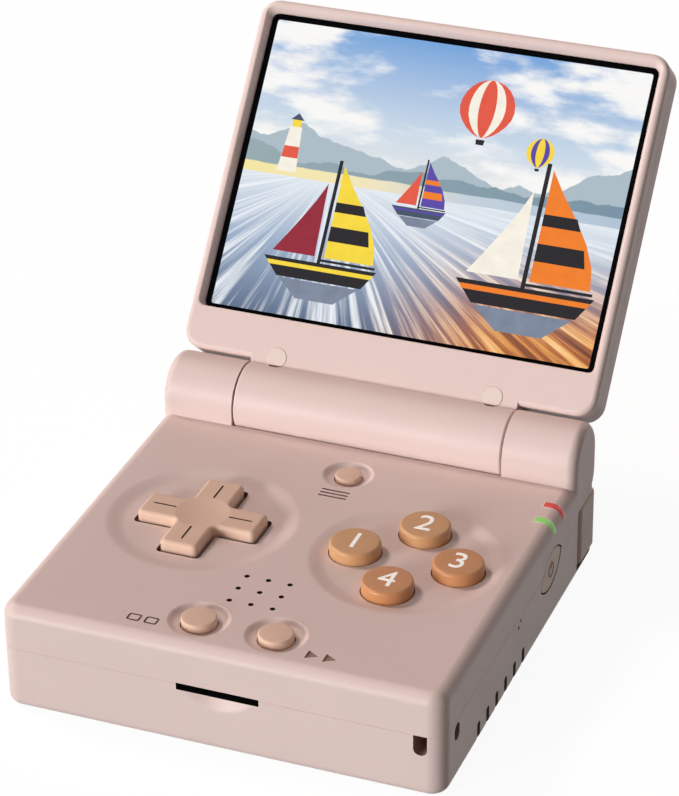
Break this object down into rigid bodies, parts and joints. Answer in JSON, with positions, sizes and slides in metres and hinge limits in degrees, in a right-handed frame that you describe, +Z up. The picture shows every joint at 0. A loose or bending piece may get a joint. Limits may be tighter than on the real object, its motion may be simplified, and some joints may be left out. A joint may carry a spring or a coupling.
{
  "type": "clamshell handheld game console",
  "caption": "Folding pocket game console: a display in a hinged lid over a thick base with a direction pad, round face buttons, small option buttons and rear shoulder buttons.",
  "frame": {"origin": "centre of the base's underside, in the plane that it stands on", "axes": "+Z up; +X to the user's right; +Y from the user towards the hinge; the lid is stored open, leaning 40 degrees back from upright"},
  "size_m": [0.0664, 0.1066, 0.0676],
  "materials": {
    "shell_pink": "fine satin moulded plastic, pale pink",
    "button_tan": "satin moulded plastic, warm tan",
    "button_caramel": "satin moulded plastic, caramel",
    "button_mauve": "satin moulded plastic, muted tan",
    "lens_red": "tinted clear plastic light window",
    "lens_green": "tinted clear plastic light window",
    "glass_black": "black-bordered cover glass, opaque border",
    "panel_black": "display module",
    "pad_clear": "soft translucent bumper",
    "screw_steel": "plated steel",
    "socket_steel": "stamped tinned steel",
    "board_green": "solder-mask green circuit board",
    "battery_foil": "laminated foil pouch",
    "dark_plastic": "black engineering plastic",
    "silicone": "white silicone rubber",
    "cable_amber": "amber film cable, rolled"
  },
  "bodies": {
    "base": {"base_upper_shell": "shell_pink", "base_lower_shell": "shell_pink", "base_screws": "screw_steel", "main_board": "board_green", "battery_pack": "battery_foil", "speaker": "dark_plastic", "card_socket": "socket_steel", "usb_port": "socket_steel", "headphone_jack": "dark_plastic", "led_window_red": "lens_red", "led_window_green": "lens_green", "hinge_cartridge": "screw_steel", "hinge_bush": "dark_plastic", "pad_membrane": "silicone", "key_membrane": "silicone", "small_switches": "dark_plastic", "side_switches": "dark_plastic", "shoulder_switches": "dark_plastic", "hall_sensor": "dark_plastic", "shoulder_pins": "screw_steel"},
    "lid": {"lid_front_frame": "shell_pink", "lid_rear_cover": "shell_pink", "display_panel": "panel_black", "display_glass": "glass_black", "bumper_pads": "pad_clear", "lid_screws": "screw_steel", "lid_magnet": "screw_steel", "display_cable": "cable_amber"},
    "pad_pivot": {"pad_pivot": "silicone"},
    "direction_pad": {"direction_pad": "button_tan"},
    "face_button_top": {"face_button_top": "button_caramel"},
    "face_button_left": {"face_button_left": "button_caramel"},
    "face_button_right": {"face_button_right": "button_caramel"},
    "face_button_bottom": {"face_button_bottom": "button_caramel"},
    "menu_button": {"menu_button": "button_tan"},
    "select_button": {"select_button": "button_tan"},
    "start_button": {"start_button": "button_tan"},
    "power_button": {"power_button": "button_mauve"},
    "volume_up_button": {"volume_up_button": "button_tan"},
    "volume_down_button": {"volume_down_button": "button_tan"},
    "shoulder_button_left": {"shoulder_button_left": "button_mauve"},
    "shoulder_button_right": {"shoulder_button_right": "button_mauve"},
    "inner_trigger_left": {"inner_trigger_left": "button_mauve"},
    "inner_trigger_right": {"inner_trigger_right": "button_mauve"}
  },
  "joints": [
    {"name": "lid_hinge", "type": "hinge", "parent": "base", "child": "lid", "pos_m": [0, 0.02855, 0.01885], "axis": [1, 0, 0], "range_deg": [-20, 130]},
    {"name": "pad_rock_up_down", "type": "hinge", "parent": "base", "child": "pad_pivot", "pos_m": [-0.0152, -0.0028, 0.0122], "axis": [1, 0, 0], "range_deg": [-3, 3], "stiffness_Nm_per_rad": 0.05},
    {"name": "pad_rock_left_right", "type": "hinge", "parent": "pad_pivot", "child": "direction_pad", "pos_m": [-0.0152, -0.0028, 0.0122], "axis": [0, 1, 0], "range_deg": [-3, 3], "stiffness_Nm_per_rad": 0.05},
    {"name": "press_top", "type": "slide", "parent": "base", "child": "face_button_top", "axis": [0, 0, -1], "range_m": [0, 0.0008], "stiffness_N_per_m": 300, "springref_m": -0.002},
    {"name": "press_left", "type": "slide", "parent": "base", "child": "face_button_left", "axis": [0, 0, -1], "range_m": [0, 0.0008], "stiffness_N_per_m": 300, "springref_m": -0.002},
    {"name": "press_right", "type": "slide", "parent": "base", "child": "face_button_right", "axis": [0, 0, -1], "range_m": [0, 0.0008], "stiffness_N_per_m": 300, "springref_m": -0.002},
    {"name": "press_bottom", "type": "slide", "parent": "base", "child": "face_button_bottom", "axis": [0, 0, -1], "range_m": [0, 0.0008], "stiffness_N_per_m": 300, "springref_m": -0.002},
    {"name": "press_menu", "type": "slide", "parent": "base", "child": "menu_button", "axis": [0, 0, -1], "range_m": [0, 0.0005], "stiffness_N_per_m": 300, "springref_m": -0.002},
    {"name": "press_select", "type": "slide", "parent": "base", "child": "select_button", "axis": [0, 0, -1], "range_m": [0, 0.0005], "stiffness_N_per_m": 300, "springref_m": -0.002},
    {"name": "press_start", "type": "slide", "parent": "base", "child": "start_button", "axis": [0, 0, -1], "range_m": [0, 0.0005], "stiffness_N_per_m": 300, "springref_m": -0.002},
    {"name": "press_power", "type": "slide", "parent": "base", "child": "power_button", "axis": [-1, 0, 0], "range_m": [0, 0.0004], "stiffness_N_per_m": 300, "springref_m": -0.002},
    {"name": "press_volume_up", "type": "slide", "parent": "base", "child": "volume_up_button", "axis": [1, 0, 0], "range_m": [0, 0.0004], "stiffness_N_per_m": 300, "springref_m": -0.002},
    {"name": "press_volume_down", "type": "slide", "parent": "base", "child": "volume_down_button", "axis": [1, 0, 0], "range_m": [0, 0.0004], "stiffness_N_per_m": 300, "springref_m": -0.002},
    {"name": "squeeze_shoulder_right", "type": "hinge", "parent": "base", "child": "shoulder_button_right", "pos_m": [0.0217, 0.0308, 0.006], "axis": [0, 0, -1], "range_deg": [0, 4.5], "stiffness_Nm_per_rad": 0.05, "springref_deg": -17.19},
    {"name": "press_trigger_right", "type": "slide", "parent": "base", "child": "inner_trigger_right", "axis": [0, -1, 0], "range_m": [0, 0.0008], "stiffness_N_per_m": 300, "springref_m": -0.002},
    {"name": "squeeze_shoulder_left", "type": "hinge", "parent": "base", "child": "shoulder_button_left", "pos_m": [-0.0217, 0.0308, 0.006], "axis": [0, 0, 1], "range_deg": [0, 4.5], "stiffness_Nm_per_rad": 0.05, "springref_deg": -17.19},
    {"name": "press_trigger_left", "type": "slide", "parent": "base", "child": "inner_trigger_left", "axis": [0, -1, 0], "range_m": [0, 0.0008], "stiffness_N_per_m": 300, "springref_m": -0.002}
  ]
}
